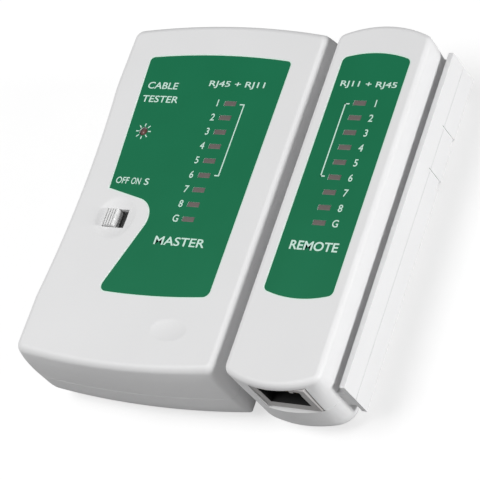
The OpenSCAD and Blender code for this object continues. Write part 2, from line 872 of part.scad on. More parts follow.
module remote_case_screws() {
    color("silver") at_remote() at_each(remote_posts) case_screw();
}

module remote_board_screws() {
    color("silver") at_remote() at_each(remote_board_posts) board_screw();
}

master_front_shell();
master_back_shell();
battery_door();
master_label();
switch_knob();
switch_actuator();
switch_body();
master_board();
master_lamps();
power_lamp();
master_rj45_jack();
master_rj45_contacts();
master_rj11_jack();
master_rj11_contacts();
battery();
battery_terminals();
battery_snap();
battery_lead_red();
battery_lead_black();
counter_chip();
timer_chip();
master_resistors();
master_capacitors();
master_case_screws();
master_board_screws();
remote_front_shell();
remote_back_shell();
remote_label();
remote_board();
remote_lamps();
remote_rj45_jack();
remote_rj45_contacts();
remote_rj11_jack();
remote_rj11_contacts();
remote_diodes();
remote_resistors();
remote_case_screws();
remote_board_screws();
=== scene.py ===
# %% [markdown]
# # A network cable tester in Blender
# The real object is a pair of small plastic boxes that lie side by side: a master with a battery,
# a slide switch and two jacks, and a slimmer remote with a rail down its right side.
# Each box is two moulded half shells that meet on a parting line, a printed label let into the
# front, and a board inside that carries the lamps and the jacks.
# The exact parts come from CAD as a fixed frame. This script leaves them where they are, gives
# every one a finish, and rebuilds the pieces that show: shells, labels, lamps, knob, jacks, door.

# %% Load the frame
import math
import bmesh
import bpy
from mathutils import Matrix, Vector


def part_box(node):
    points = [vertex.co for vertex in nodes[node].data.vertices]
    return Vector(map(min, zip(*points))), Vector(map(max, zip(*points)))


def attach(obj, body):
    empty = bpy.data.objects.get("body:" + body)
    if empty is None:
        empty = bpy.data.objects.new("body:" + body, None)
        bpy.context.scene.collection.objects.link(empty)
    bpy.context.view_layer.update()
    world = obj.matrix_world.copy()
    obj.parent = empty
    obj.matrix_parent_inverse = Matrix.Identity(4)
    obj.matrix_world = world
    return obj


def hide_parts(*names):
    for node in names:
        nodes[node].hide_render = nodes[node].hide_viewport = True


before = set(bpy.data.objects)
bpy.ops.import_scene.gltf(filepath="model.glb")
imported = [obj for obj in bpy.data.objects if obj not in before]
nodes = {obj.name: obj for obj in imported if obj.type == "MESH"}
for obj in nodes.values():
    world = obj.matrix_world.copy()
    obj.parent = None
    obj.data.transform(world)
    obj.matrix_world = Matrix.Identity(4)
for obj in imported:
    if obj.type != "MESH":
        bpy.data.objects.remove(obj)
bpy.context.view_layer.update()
MM = 0.001
WELD = 0.000002
print("CAD nodes:", len(nodes))

# %% [markdown]
# Positions come from the CAD boxes, so that nothing has to be fitted by eye. Each unit has a
# middle point on the table top, and every measure below is taken from that point in millimetres,
# with X to the right across the front face, Y to the top end and Z out of the front face.
# The lip of the front face lies at one height on both units, and so does the parting line.

# %% Middles, heights and widths taken from the frame
def middle(node):
    low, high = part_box(node)
    return Vector(((low.x + high.x) / 2, (low.y + high.y) / 2, 0))


master_mid = middle("master_front_shell")
master_low, master_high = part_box("master_front_shell")
remote_low, remote_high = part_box("remote_front_shell")
label_low, label_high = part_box("remote_label")
remote_mid = Vector(((label_low.x + label_high.x) / 2, (remote_low.y + remote_high.y) / 2, 0))
master_w = (master_high.x - master_low.x) / MM
master_len = (master_high.y - master_low.y) / MM
remote_w = (remote_mid.x - remote_low.x) * 2 / MM
remote_len = (remote_high.y - remote_low.y) / MM
front_z = master_high.z / MM
parting_z = master_low.z / MM
label_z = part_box("master_label")[1].z / MM
print(
    "master", round(master_w, 2), "x", round(master_len, 2), "at",
    [round(c, 2) for c in master_mid / MM]
)
print(
    "remote", round(remote_w, 2), "x", round(remote_len, 2), "at",
    [round(c, 2) for c in remote_mid / MM]
)

# %% [markdown]
# A piece is kept as a bmesh until its shape is done. Then it becomes an object at the origin with
# its place in its mesh. Smooth shading alone would smear light over flat faces, so edges sharper
# than a set angle are marked, and a Weighted Normal modifier lets the big flat faces win.

# %% Turning a bmesh into a finished piece
def finish_piece(name, bm, finishes, angle=32, weighted=True):
    bmesh.ops.remove_doubles(bm, verts=bm.verts, dist=WELD)
    bmesh.ops.recalc_face_normals(bm, faces=bm.faces)
    mesh = bpy.data.meshes.new(name)
    bm.to_mesh(mesh)
    bm.free()
    for finish in finishes:
        mesh.materials.append(finish)
    mesh.shade_smooth()
    mesh.set_sharp_from_angle(angle=math.radians(angle))
    piece = bpy.data.objects.new(name, mesh)
    bpy.context.scene.collection.objects.link(piece)
    if weighted:
        modifier = piece.modifiers.new("flat faces win", "WEIGHTED_NORMAL")
        modifier.keep_sharp = True
    print(name, "has", len(mesh.polygons), "faces")
    return piece


def seat(piece, body, slot, *stands_for):
    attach(piece, body)
    if stands_for:
        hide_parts(*stands_for)
    return piece


# %% Small solids: a box and a rod, both made by operators
def add_box(bm, x, y, z, at=Vector((0, 0, 0)), round_edges=0, segments=2):
    made = bmesh.ops.create_cube(bm, size=1)["verts"]
    for v in made:
        v.co = Vector((
            (x[0] + x[1]) / 2 + v.co.x * (x[1] - x[0]),
            (y[0] + y[1]) / 2 + v.co.y * (y[1] - y[0]),
            (z[0] + z[1]) / 2 + v.co.z * (z[1] - z[0]),
        )) * MM + at
    if round_edges:
        edges = list({e for v in made for e in v.link_edges})
        bmesh.ops.bevel(
            bm, geom=edges, offset=round_edges * MM, segments=segments, affect="EDGES",
            profile=0.5, material=-1,
        )
    return made


def add_rod(bm, centre, radius, z, at=Vector((0, 0, 0)), segments=32):
    turn = Matrix.Translation(Vector((centre[0], centre[1], (z[0] + z[1]) / 2)) * MM + at)
    return bmesh.ops.create_cone(
        bm, cap_ends=True, segments=segments, radius1=radius * MM, radius2=radius * MM,
        depth=(z[1] - z[0]) * MM, matrix=turn,
    )["verts"]


# %% [markdown]
# Openings are cut with the Boolean modifier, as a mould core would leave them. The cutters are
# plain solids that are thrown away once the result has been read back.

# %% Cutting one mesh with others
def as_object(bm, name="cutter"):
    bmesh.ops.recalc_face_normals(bm, faces=bm.faces)
    mesh = bpy.data.meshes.new(name)
    bm.to_mesh(mesh)
    bm.free()
    obj = bpy.data.objects.new(name, mesh)
    bpy.context.scene.collection.objects.link(obj)
    return obj


def cut(bm, steps):
    body = as_object(bm, "blank")
    tools = []
    for operation, tool in steps:
        tool = as_object(tool)
        modifier = body.modifiers.new("cut", "BOOLEAN")
        modifier.operation = operation
        modifier.solver = "EXACT"
        modifier.object = tool
        tools.append(tool)
    shape = bpy.data.meshes.new_from_object(
        body.evaluated_get(bpy.context.evaluated_depsgraph_get())
    )
    result = bmesh.new()
    result.from_mesh(shape)
    for used in tools + [body]:
        bpy.data.objects.remove(used)
    bpy.data.meshes.remove(shape)
    bmesh.ops.remove_doubles(result, verts=result.verts, dist=WELD)
    bmesh.ops.dissolve_degenerate(result, dist=WELD, edges=result.edges)
    return result


def box_tool(x, y, z, at):
    bm = bmesh.new()
    add_box(bm, x, y, z, at)
    return bm


def rod_tool(centre, radius, z, at, segments=40):
    bm = bmesh.new()
    add_rod(bm, centre, radius, z, at, segments)
    return bm


def openings(*tools):
    return [("DIFFERENCE", tool) for tool in tools]


def around(mid, half):
    return (mid - half, mid + half)


# %% [markdown]
# ## The finishes
# Each finish is a set of shader nodes that reads Object coordinates, so it stays on the piece from
# any side. Two effects are shared, so they are node groups: the fine grain of spark-eroded moulds,
# and a slow drift in tone that keeps a big plain face from looking like paint.

# %% Node helpers
def add_node(tree, kind, **inputs):
    node = tree.nodes.new(kind)
    for name, value in inputs.items():
        node.inputs[name.replace("_", " ")].default_value = value
    return node


def new_group(name, ins, outs):
    group = bpy.data.node_groups.new(name, "ShaderNodeTree")
    for label, value in ins:
        socket = group.interface.new_socket(label, in_out="INPUT", socket_type="NodeSocketFloat")
        socket.default_value = value
    for label, kind in outs:
        group.interface.new_socket(label, in_out="OUTPUT", socket_type=kind)
    return group, group.nodes.new("NodeGroupInput"), group.nodes.new("NodeGroupOutput")


def place_group(tree, group, **values):
    node = tree.nodes.new("ShaderNodeGroup")
    node.node_tree = group
    for name, value in values.items():
        node.inputs[name].default_value = value
    return node


# %% Mould grain: a height for Bump and a small change of roughness
grain_group, grain_in, grain_out = new_group(
    "mould_grain", [("Scale", 3000), ("Depth", 1)], [
        ("Height", "NodeSocketFloat"), ("Mask", "NodeSocketFloat")
    ],
)
coords = grain_group.nodes.new("ShaderNodeTexCoord")
fine = add_node(grain_group, "ShaderNodeTexNoise", Detail=3.0, Roughness=0.6)
cells = grain_group.nodes.new("ShaderNodeTexVoronoi")
mix = grain_group.nodes.new("ShaderNodeMath")
mix.operation = "MULTIPLY"
strength = grain_group.nodes.new("ShaderNodeMath")
strength.operation = "MULTIPLY"
link = grain_group.links.new
link(coords.outputs["Object"], fine.inputs["Vector"])
link(coords.outputs["Object"], cells.inputs["Vector"])
link(grain_in.outputs["Scale"], fine.inputs["Scale"])
link(grain_in.outputs["Scale"], cells.inputs["Scale"])
link(fine.outputs["Fac"], mix.inputs[0])
link(cells.outputs["Distance"], mix.inputs[1])
link(mix.outputs[0], strength.inputs[0])
link(grain_in.outputs["Depth"], strength.inputs[1])
link(strength.outputs[0], grain_out.inputs["Height"])
link(fine.outputs["Fac"], grain_out.inputs["Mask"])

# %% Slow drift: a mask that wanders over centimetres
drift_group, drift_in, drift_out = new_group(
    "slow_drift", [("Scale", 40)], [("Mask", "NodeSocketFloat")],
)
coords = drift_group.nodes.new("ShaderNodeTexCoord")
slow = add_node(drift_group, "ShaderNodeTexNoise", Detail=2.0, Roughness=0.5)
drift_group.links.new(coords.outputs["Object"], slow.inputs["Vector"])
drift_group.links.new(drift_in.outputs["Scale"], slow.inputs["Scale"])
drift_group.links.new(slow.outputs["Fac"], drift_out.inputs["Mask"])


# %% [markdown]
# Nearly every finish on this object is a plastic, a lacquer or a metal with a little grain, so one
# maker covers them: two close colours mixed by the drift, two roughnesses mixed by the grain, and
# a bump from the grain. What is the same all over is set on the shader itself.

# %% A finish from two tones, two roughnesses and a grain
def make_finish(name, dark, light, rough=(0.4, 0.5), metallic=0.0, grain=(3000, 1.0), bump=0.1,
                drift=40, ior=1.46, coat=0.0, subsurface=0.0):
    finish = bpy.data.materials.new(name)
    finish.use_nodes = True
    tree = finish.node_tree
    shader = tree.nodes["Principled BSDF"]
    shader.inputs["Metallic"].default_value = metallic
    shader.inputs["IOR"].default_value = ior
    shader.inputs["Coat Weight"].default_value = coat
    if subsurface:
        shader.inputs["Subsurface Weight"].default_value = subsurface
        shader.inputs["Subsurface Scale"].default_value = 0.0015
        shader.inputs["Subsurface Radius"].default_value = (1.0, 0.9, 0.8)
    grain_node = place_group(tree, grain_group, Scale=grain[0], Depth=grain[1])
    drift_node = place_group(tree, drift_group, Scale=drift)
    tone = tree.nodes.new("ShaderNodeMix")
    tone.data_type = "RGBA"
    tone.inputs["A"].default_value = (*dark, 1)
    tone.inputs["B"].default_value = (*light, 1)
    tree.links.new(drift_node.outputs["Mask"], tone.inputs["Factor"])
    tree.links.new(tone.outputs["Result"], shader.inputs["Base Color"])
    gloss = add_node(tree, "ShaderNodeMapRange")
    gloss.inputs["To Min"].default_value = rough[0]
    gloss.inputs["To Max"].default_value = rough[1]
    tree.links.new(grain_node.outputs["Mask"], gloss.inputs["Value"])
    tree.links.new(gloss.outputs["Result"], shader.inputs["Roughness"])
    relief = add_node(tree, "ShaderNodeBump", Strength=bump, Distance=0.0002)
    tree.links.new(grain_node.outputs["Height"], relief.inputs["Height"])
    tree.links.new(relief.outputs["Normal"], shader.inputs["Normal"])
    return finish


# %% Plastics
case_white = make_finish(
    "case_white", (0.79, 0.79, 0.795), (0.83, 0.83, 0.835), rough=(0.42, 0.55), grain=(2600, 1),
    bump=0.12
)
door_white = make_finish(
    "door_white", (0.77, 0.77, 0.775), (0.81, 0.81, 0.815), rough=(0.42, 0.55), grain=(2600, 1),
    bump=0.12
)
# Near black for the switch's slider: painted shade for the slot beside the knob.
slider_painted_shade = make_finish(
    "slider_painted_shade", (0.030, 0.030, 0.031), (0.045, 0.045, 0.046), rough=(0.45, 0.55), bump=0.05
)
knob_white = make_finish(
    "knob_white", (0.80, 0.80, 0.80), (0.86, 0.86, 0.86), rough=(0.32, 0.42), bump=0.05
)
jack_grey = make_finish(
    "jack_grey", (0.40, 0.385, 0.38), (0.47, 0.455, 0.45), rough=(0.35, 0.5), bump=0.08
)
# Near black for the inside of the jack hollows: painted shade, since the housing is one grey
# moulding.
jack_hollow_painted_shade = make_finish(
    "jack_hollow_painted_shade", (0.006, 0.006, 0.006), (0.012, 0.012, 0.012), rough=(0.4, 0.55), bump=0.1
)
chip_black = make_finish(
    "chip_black", (0.012, 0.012, 0.013), (0.022, 0.022, 0.024), rough=(0.5, 0.65), bump=0.2
)
snap_black = make_finish(
    "snap_black", (0.01, 0.01, 0.01), (0.02, 0.02, 0.02), rough=(0.45, 0.6), bump=0.15
)
wire_red = make_finish(
    "wire_red", (0.45, 0.012, 0.012), (0.55, 0.02, 0.018), rough=(0.35, 0.45), bump=0.04
)
wire_black = make_finish(
    "wire_black", (0.01, 0.01, 0.01), (0.018, 0.018, 0.018), rough=(0.35, 0.45), bump=0.04
)
lamp_lens = make_finish(
    "lamp_lens", (0.125, 0.105, 0.098), (0.165, 0.14, 0.13), rough=(0.3, 0.4), grain=(900, 1),
    bump=0.04, drift=300
)
power_lens = make_finish(
    "power_lens", (0.12, 0.05, 0.045), (0.2, 0.09, 0.08), rough=(0.2, 0.3), grain=(900, 1),
    bump=0.04, drift=700
)
capacitor_sleeve = make_finish(
    "capacitor_sleeve", (0.01, 0.015, 0.05), (0.02, 0.025, 0.08), rough=(0.2, 0.3), bump=0.03
)

# %% Print, film and lacquer
label_green = make_finish(
    "label_green", (0.0040, 0.155, 0.064), (0.007, 0.181, 0.080), rough=(0.34, 0.44),
    grain=(5200, 1), bump=0.06, drift=60, ior=1.28
)
label_edge = make_finish(
    "label_edge", (0.66, 0.84, 0.75), (0.74, 0.90, 0.82), rough=(0.38, 0.48), grain=(5200, 1),
    bump=0.04
)
print_white = make_finish(
    "print_white", (0.55, 0.80, 0.69), (0.68, 0.88, 0.79), rough=(0.4, 0.5), grain=(6000, 1),
    bump=0.04, drift=900
)
board_green = make_finish(
    "board_green", (0.008, 0.075, 0.03), (0.014, 0.12, 0.05), rough=(0.22, 0.34), grain=(700, 1),
    bump=0.08, drift=260
)

# %% Metals
zinc = make_finish(
    "zinc", (0.50, 0.50, 0.50), (0.62, 0.62, 0.60), rough=(0.26, 0.42), metallic=1.0,
    grain=(1800, 1), bump=0.08, drift=300
)
nickel = make_finish(
    "nickel", (0.60, 0.59, 0.56), (0.72, 0.71, 0.68), rough=(0.2, 0.34), metallic=1.0,
    grain=(1500, 1), bump=0.06, drift=300
)
gold = make_finish(
    "gold", (0.75, 0.50, 0.16), (0.88, 0.64, 0.26), rough=(0.16, 0.28), metallic=1.0,
    grain=(1500, 1), bump=0.04, drift=500
)
print("finishes:", len(bpy.data.materials))


# %% [markdown]
# Three parts wear a pattern that runs along X: the bands on the resistors and on the diodes, and
# the wrap on the battery. All the resistors of a row stand at the same X, so one ramp of colours
# along that axis bands every one of them.

# %% Banded finish: hard-edged stripes along X
def make_banded(name, start, end, stripes, rough, metallic=0.0):
    finish = make_finish(
        name, stripes[0][1], stripes[0][1], rough=rough, metallic=metallic, bump=0.03
    )
    tree = finish.node_tree
    coords = tree.nodes.new("ShaderNodeTexCoord")
    split = tree.nodes.new("ShaderNodeSeparateXYZ")
    spread = add_node(tree, "ShaderNodeMapRange")
    spread.inputs["From Min"].default_value = start
    spread.inputs["From Max"].default_value = end
    ramp = tree.nodes.new("ShaderNodeValToRGB")
    ramp.color_ramp.interpolation = "CONSTANT"
    for i, (place, colour) in enumerate(stripes):
        element = ramp.color_ramp.elements[0] if i == 0 else ramp.color_ramp.elements.new(place)
        element.position = place
        element.color = (*colour, 1)
    tree.links.new(coords.outputs["Object"], split.inputs["Vector"])
    tree.links.new(split.outputs["X"], spread.inputs["Value"])
    tree.links.new(spread.outputs["Result"], ramp.inputs["Fac"])
    tree.links.new(ramp.outputs["Color"], tree.nodes["Principled BSDF"].inputs["Base Color"])
    return finish


low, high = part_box("master_resistors")
tan, brown, black = (0.55, 0.38, 0.22), (0.10, 0.03, 0.01), (0.01, 0.01, 0.01)
red, bright = (0.5, 0.02, 0.02), (0.6, 0.6, 0.6)
resistor_stripes = [
    (0.0, bright), (0.17, tan), (0.27, brown), (0.34, tan), (0.41, black), (0.48, tan),
    (0.55, red), (0.62, tan), (0.72, (0.6, 0.42, 0.1)), (0.79, tan), (0.83, bright),
]
master_bands = make_banded("resistor_bands", low.x, high.x, resistor_stripes, (0.3, 0.4))
low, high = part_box("remote_resistors")
remote_bands = make_banded("remote_resistor_bands", low.x, high.x, resistor_stripes, (0.3, 0.4))
low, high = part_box("remote_diodes")
diode_bands = make_banded(
    "diode_bands", low.x, high.x,
    [(0.0, bright), (0.2, black), (0.68, (0.7, 0.7, 0.7)), (0.75, black), (0.8, bright)],
    (0.25, 0.35)
)
low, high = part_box("battery")
battery_wrap = make_banded(
    "battery_wrap", low.x, high.x,
    [
        (0.0, (0.5, 0.5, 0.5)), (0.02, (0.02, 0.03, 0.07)), (0.70, (0.55, 0.42, 0.12)),
        (0.74, (0.62, 0.62, 0.6)), (0.98, (0.5, 0.5, 0.5))
    ],
    (0.22, 0.32), metallic=0.6
)

# %% Finishes for the CAD parts that stay as they are
carried = {
    "switch_actuator": chip_black, "switch_body": nickel, "master_board": board_green,
    "master_rj45_contacts": gold, "master_rj11_contacts": gold, "remote_rj45_contacts": gold,
    "remote_rj11_contacts": gold, "battery": battery_wrap, "battery_terminals": nickel,
    "battery_snap": snap_black, "battery_lead_red": wire_red, "battery_lead_black": wire_black,
    "counter_chip": chip_black, "timer_chip": chip_black, "master_resistors": master_bands,
    "master_capacitors": capacitor_sleeve, "master_case_screws": zinc, "master_board_screws": zinc,
    "remote_board": board_green, "remote_diodes": diode_bands, "remote_resistors": remote_bands,
    "remote_case_screws": zinc, "remote_board_screws": zinc,
}
for name, finish in carried.items():
    nodes[name].data.materials.clear()
    nodes[name].data.materials.append(finish)
print("CAD parts with a finish:", len(carried))


# %% [markdown]
# ## The half shells
# Seen from the front, a case is a box whose ends are shallow arcs. The mould also draws the ends
# in a little towards the front, and every edge is rounded. A shell is skinned over a stack of
# rings: each ring is the outline at one height, and Bridge joins a ring to the next. All the
# rings have the same number of points, so the bridges give clean four-sided faces.
# The outline's points can't come from one operator, because its corners must stay tangent to both
# the side and the arc at every height, so a short function places them.

# %% Points round a case outline
def quarter(width, length, arc, corner, side_steps, corner_steps, arc_steps):
    half = width / 2
    arc_y = length / 2 - arc
    corner_y = arc_y + math.sqrt((arc - corner) ** 2 - (half - corner) ** 2)
    meet = math.atan2(corner_y - arc_y, half - corner)
    points = [(half, corner_y * i / side_steps) for i in range(side_steps)]
    for i in range(corner_steps):
        a = meet * i / corner_steps
        points.append((half - corner + corner * math.cos(a), corner_y + corner * math.sin(a)))
    for i in range(arc_steps):
        a = meet + (math.pi / 2 - meet) * i / arc_steps
        points.append((arc * math.cos(a), arc_y + arc * math.sin(a)))
    points.append((0, length / 2))
    return points


def outline(width, length, arc, corner, steps=(14, 8, 18)):
    first = quarter(width, length, arc, corner, *steps)
    left_top = [(-x, y) for x, y in reversed(first)][1:]
    left_bottom = [(-x, -y) for x, y in first][1:]
    right_bottom = [(x, -y) for x, y in reversed(first)][1:-1]
    return first + left_top + left_bottom + right_bottom


# %% A ring at one height, and a skin over a stack of rings
def add_ring(bm, points, z, at):
    ring = bmesh.ops.create_circle(bm, cap_ends=False, segments=len(points), radius=1)["verts"]
    for v, (x, y) in zip(ring, points):
        v.co = Vector((x, y, z)) * MM + at
    return [bm.edges.get((ring[i], ring[i - 1])) for i in range(len(ring))]


def skin(rings, at):
    bm = bmesh.new()
    loops = [add_ring(bm, points, z, at) for points, z in rings]
    for lower, upper in zip(loops, loops[1:]):
        bmesh.ops.bridge_loops(bm, edges=lower + upper)
    bmesh.ops.edgeloop_fill(bm, edges=loops[0])
    bmesh.ops.edgeloop_fill(bm, edges=loops[-1])
    bmesh.ops.recalc_face_normals(bm, faces=bm.faces)
    return bm


# %% [markdown]
# The stack for a front half starts at the parting line with a tiny chamfer, so that the two halves
# leave the fine groove of a real parting line between them. It ends with a quarter circle.

# %% Stacks of rings for the two halves
chamfer, chamfer_rise = 0.14, 0.16
edge_steps, rise_steps = 8, 12
smallest_corner = 0.35


def case_ring(unit, inset, z):
    up = max(0.0, (z - parting_z) / (front_z - parting_z)) ** unit["curve"]
    width = unit["w"] - 2 * unit["side_draw"] * up
    length = unit["len"] - 2 * unit["draw"] * up
    arc = unit["mid_arc"] + (unit["arc"] - unit["mid_arc"]) * up
    corner = unit["mid_corner"] + (unit["corner"] - unit["mid_corner"]) * up
    corner = max(corner - inset, smallest_corner)
    return outline(width - 2 * inset, length - 2 * inset, arc - inset, corner)


def back_inset(unit, z):
    if z >= unit["back_rise"]:
        return 0.0
    lean = 1 - z / unit["back_rise"]
    return unit["back_r"] * (1 - math.sqrt(1 - lean ** 2))


def front_stack(unit, levels=()):
    rings = [(case_ring(unit, chamfer, parting_z), parting_z)]
    r = unit["front_r"]
    rings += [(case_ring(unit, 0, z), z) for z in (parting_z + chamfer_rise, *levels)]
    for i in range(edge_steps + 1):
        a = math.pi / 2 * i / edge_steps
        z = front_z - r + r * math.sin(a)
        rings.append((case_ring(unit, r * (1 - math.cos(a)), z), z))
    return rings


def back_stack(unit, extra=0.0):
    rise = unit["back_rise"]
    turns = [math.pi / 2 * i / rise_steps for i in range(rise_steps + 1)]
    heights = [rise * (1 - math.cos(a)) for a in turns]
    heights += [z for z in (0.8 * parting_z, parting_z - chamfer_rise) if z > rise + 0.3]
    heights = [extra] + [z for z in heights if z > extra + 0.05] if extra else heights
    rings = [(case_ring(unit, back_inset(unit, z) + extra, z), z) for z in heights]
    rings.append((case_ring(unit, chamfer + extra, parting_z), parting_z))
    return rings


master = {
    "w": master_w, "len": master_len, "arc": 200, "mid_arc": 260, "corner": 2.6,
    "mid_corner": 2.0, "front_r": 1.6, "back_r": 5.0, "back_rise": 9.0,
    "side_draw": 0.6, "draw": 1.0, "curve": 2.5,
}
remote = {
    "w": remote_w, "len": remote_len, "arc": 30, "mid_arc": 34, "corner": 2.4,
    "mid_corner": 6.5, "front_r": 1.5, "back_r": 8.2, "back_rise": 6.4,
    "side_draw": 0.0, "draw": 0.4, "curve": 1.5,
}

# %% [markdown]
# The hollow of a shell is a second, smaller stack. It is cut out with the openings for jacks,
# lamps, switch and screws, so the wall has its real thickness wherever an opening shows it. On
# the master's left the hollow stops short, because the rail's slot takes up the room there.

# %% The hollow inside a shell
wall = 2.0
left_room = -25.5


def hollow_tool(unit, at, heights, left=None):
    rings = []
    for z in heights:
        points = case_ring(unit, back_inset(unit, z) + wall, min(z, front_z - 4))
        if left is not None:
            points = [(max(x, left), y) for x, y in points]
        rings.append((points, z))
    return skin(rings, at)


front_heights = (parting_z - 1, front_z - wall)
back_heights = (wall, 3, 4.5, 6.5, 9, parting_z + 1)

# %% [markdown]
# The remote clips to the master with a T-shaped rail, so the master's left side has a T slot. The
# shells share it: each holds one half. Its measures are the rail's own plus a little clearance.
# The rail's plate has two shallow notches in its edge and a fine mark beside each.

# %% Rail and slot
rail_out, rail_t, rail_h, rail_web, clear = 3.4, 1.5, 13.5, 6.6, 0.25
rail_y = (-47.0, 48.0)
notch_places, notch_half, notch_deep = (16.2, 28.6), 1.1, 1.1
mark_deep, mark_y = 0.25, (0.85, 1.35)
past_end = 80


def slot_tools():
    left = -master_w / 2
    floor = rail_y[0] - 1
    mouth_z = around(parting_z, rail_web / 2 + clear)
    room_x = (left + rail_out - rail_t - 0.4, left + rail_out + clear)
    room_z = around(parting_z, rail_h / 2 + clear)
    return openings(
        box_tool((left - 3, left + 2), (floor, past_end), mouth_z, master_mid),
        box_tool(room_x, (floor, past_end), room_z, master_mid),
    )


def rail_tools(side):
    bm = bmesh.new()
    x = remote_w / 2
    z = sorted((parting_z + side * 0.04, parting_z + side * rail_web / 2))
    add_box(bm, (x - 1, x + rail_out - 0.2), rail_y, z, remote_mid)
    plate = bmesh.new()
    z = sorted((parting_z + side * 0.04, parting_z + side * rail_h / 2))
    add_box(plate, (x + rail_out - rail_t, x + rail_out), rail_y, z, remote_mid, round_edges=0.12)
    steps = [("UNION", bm), ("UNION", plate)]
    face, low = x + rail_out, parting_z - rail_h / 2
    for y in notch_places:
        notch_x, notch_z = (face - rail_t - 0.1, face + 1), (low - 1, low + notch_deep)
        notch = box_tool(notch_x, around(y, notch_half), notch_z, remote_mid)
        mark_x, mark_z = (face - mark_deep, face + 1), (low - 1, parting_z + 1)
        mark = box_tool(mark_x, (y + mark_y[0], y + mark_y[1]), mark_z, remote_mid)
        steps += openings(notch, mark) if side < 0 else openings(mark)
    return steps


# %% [markdown]
# Where the fingers pick the master up, its left front edge sweeps inwards in a long shallow curve.
# The rings have enough points down the side for this, so the skin is simply pushed in there.

# %% The finger hollow in the left front edge
grip_deep, grip_y, grip_half, grip_foot, grip_rise = 1.7, -1, 32, 21.4, 1.6


def press_grip(bm):
    for v in bm.verts:
        x, y, z = (v.co - master_mid) / MM
        if x < -master_w / 2 + 3:
            along = max(0.0, 1 - ((y - grip_y) / grip_half) ** 2)
            up = min(1.0, max(0.0, (z - grip_foot) / grip_rise))
            v.co.x += grip_deep * along * up * up * (3 - 2 * up) * MM


# %% [markdown]
# Three kinds of opening repeat, so each has its own maker. A mouth is the box of its jack with a
# little room round it. The windows are a row of nine boxes, one for each lamp. A screw has a post
# inside the back shell, a wide recess for its head and a narrow bore for its shank. The posts are
# trimmed to the shell's own outline, so that none of them breaks through the rounded edge.

# %% Jack mouths, lamp windows and screw posts
jack_clear = 0.35
master_jacks = ("master_rj45_jack", "master_rj11_jack")


def mouth_tool(jack, out):
    low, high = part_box(jack)
    y = (low.y, high.y + 0.02) if out > 0 else (low.y - 0.02, high.y)
    x = (low.x / MM - jack_clear, high.x / MM + jack_clear)
    z = (low.z / MM - 0.2, high.z / MM + 0.2)
    return box_tool(x, (y[0] / MM, y[1] / MM), z, Vector((0, 0, 0)))


lamp_count, lamp_pitch = 9, 4.34
lamp_half = (1.8, 0.7)
master_lamp = (8.2, 26.8)
remote_lamp = (-0.6, 28.1)
power_lamp = (-15.9, 17.2)


def window_tool(first, at, grow, z):
    bm = bmesh.new()
    for i in range(lamp_count):
        y = first[1] - i * lamp_pitch
        add_box(bm, around(first[0], lamp_half[0] + grow), around(y, lamp_half[1] + grow), z, at)
    return bm


screw_places = [(-23.1, 41), (26.35, 28), (-23.1, -16.2), (26.35, -16.2)]
remote_screws = [(9.35, 21), (-9.35, -22)]
sleeve_r, post_r, recess_r, bore_r = 3.7, 2.6, 2.7, 1.4
post_foot, sleeve_top, recess_top = 1.2, 6.6, 5.6


def screw_steps(places, unit, at):
    steps = []
    for place in places:
        sleeve = rod_tool(place, sleeve_r, (post_foot, sleeve_top), at)
        post = rod_tool(place, post_r, (post_foot, parting_z - 0.05), at)
        inside = skin(back_stack(unit, extra=0.5), at)
        steps.append(("UNION", cut(cut(sleeve, [("UNION", post)]), [("INTERSECT", inside)])))
        steps += openings(
            rod_tool(place, recess_r, (-1, recess_top), at), rod_tool(place, bore_r, (-1, 30), at),
        )
    return steps


# %% [markdown]
# The switch sits in a shallow dish that a finger can find. It is a cap of a very large ball. The
# label also lies in a shallow recess, so that its edge can't be caught and peeled.
# Below the label there is a faint oval hollow, a mark that the mould leaves.

# %% Dishes: the cap of a large ball sunk in the front face
def spun_dish_tool(centre, radius, depth, at, stretch=1.0, steps=10):
    bm = bmesh.new()
    ball = (radius ** 2 + depth ** 2) / (2 * depth)
    top = radius * 1.25
    profile = [bm.verts.new((0, 0, 0))]
    for i in range(1, steps + 1):
        r = top * i / steps
        profile.append(bm.verts.new((r * MM, 0, (ball - math.sqrt(ball ** 2 - r ** 2)) * MM)))
    edges = [bm.edges.new(pair) for pair in zip(profile, profile[1:])]
    bmesh.ops.spin(
        bm, geom=profile + edges, cent=(0, 0, 0), axis=(0, 0, 1), angle=math.tau, steps=72,
        use_merge=True
    )
    bmesh.ops.remove_doubles(bm, verts=bm.verts, dist=0.0000005)
    bmesh.ops.edgeloop_fill(bm, edges=[e for e in bm.edges if e.is_boundary])
    bmesh.ops.scale(bm, vec=(stretch, 1, 1), verts=bm.verts)
    bmesh.ops.translate(
        bm, vec=Vector((centre[0], centre[1], front_z - depth)) * MM + at, verts=bm.verts
    )
    bmesh.ops.recalc_face_normals(bm, faces=bm.faces)
    return bm


# %% [markdown]
# ## The label outlines
# A label starts as a few corner points joined into one face. Its long gentle arcs are a handful of
# points each, and its corners are rounded by bevelling vertices. The master's label steps in
# round the switch: the big corner there is one vertex with a bevel of 6.5 mm.

# %% A flat outline from corner points, each with its own rounding
def flat_shape(points, z, at, grow=0.0):
    bm = bmesh.new()
    corners = [bm.verts.new(Vector((x, y, z)) * MM + at) for x, y, r in points]
    bm.faces.new(corners)
    for v, (x, y, r) in zip(corners, points):
        if r:
            bmesh.ops.bevel(
                bm, geom=[v], offset=r * MM, segments=max(6, int(r * 3)), affect="VERTICES",
                profile=0.5, material=-1,
            )
    if grow:
        ring = bmesh.ops.inset_region(
            bm, faces=bm.faces[:], thickness=abs(grow) * MM, use_outset=grow > 0,
            use_even_offset=True, use_boundary=True,
        )["faces"]
        if grow < 0:
            bmesh.ops.delete(bm, geom=ring, context="FACES")
    return bm


def arc_points(x0, x1, apex, radius, up, count=9):
    points = []
    for i in range(count):
        x = x0 + (x1 - x0) * i / (count - 1)
        drop = radius - math.sqrt(radius ** 2 - x ** 2)
        points.append((x, apex - up * drop, 0))
    return points


